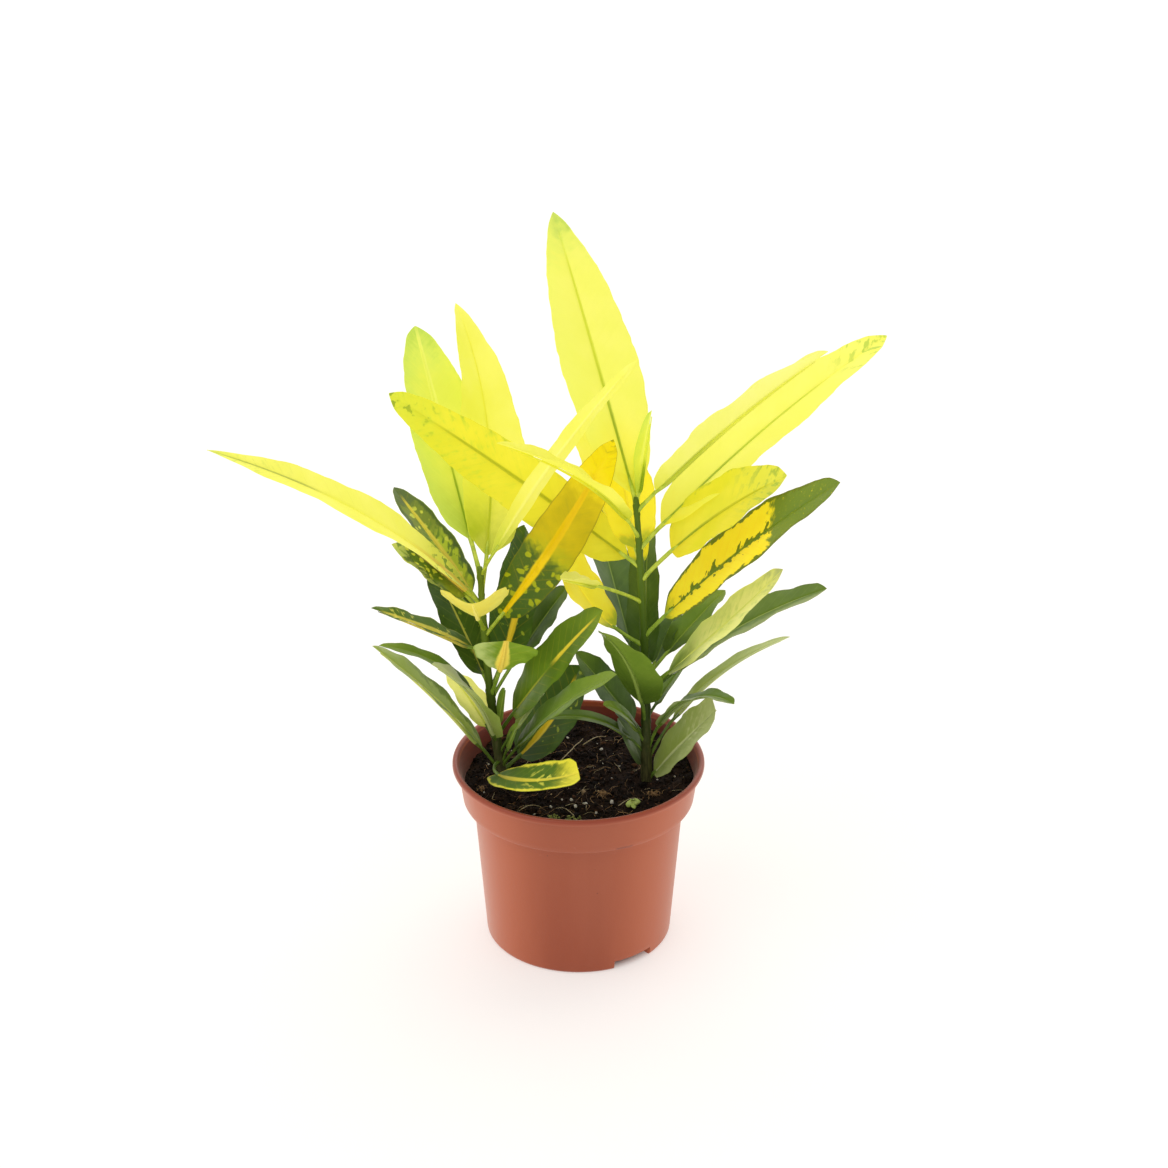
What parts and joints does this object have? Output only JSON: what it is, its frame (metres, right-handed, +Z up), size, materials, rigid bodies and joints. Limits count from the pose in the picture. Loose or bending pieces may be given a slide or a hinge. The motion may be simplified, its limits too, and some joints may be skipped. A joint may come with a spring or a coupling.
{
  "type": "potted croton",
  "caption": "Young croton with yellow and green lance-shaped leaves on two stems, rooted in soil in a tapered plastic grower's pot with drainage notches.",
  "frame": {"origin": "middle of the pot's flat base, on the surface that it stands on", "axes": "+Z up, +X to the plant's right and +Y to its back, as it is usually shown"},
  "size_m": [0.3307, 0.1654, 0.3654],
  "materials": {
    "pot_plastic": "satin injection-moulded plastic",
    "soil": "loose dark peat with fibres and grit",
    "foliage": "waxy yellow and green leaves on green stems"
  },
  "bodies": {
    "root": {"pot": "pot_plastic", "soil": "soil", "left_leafy_stem": "foliage", "right_leafy_stem": "foliage"}
  },
  "joints": []
}
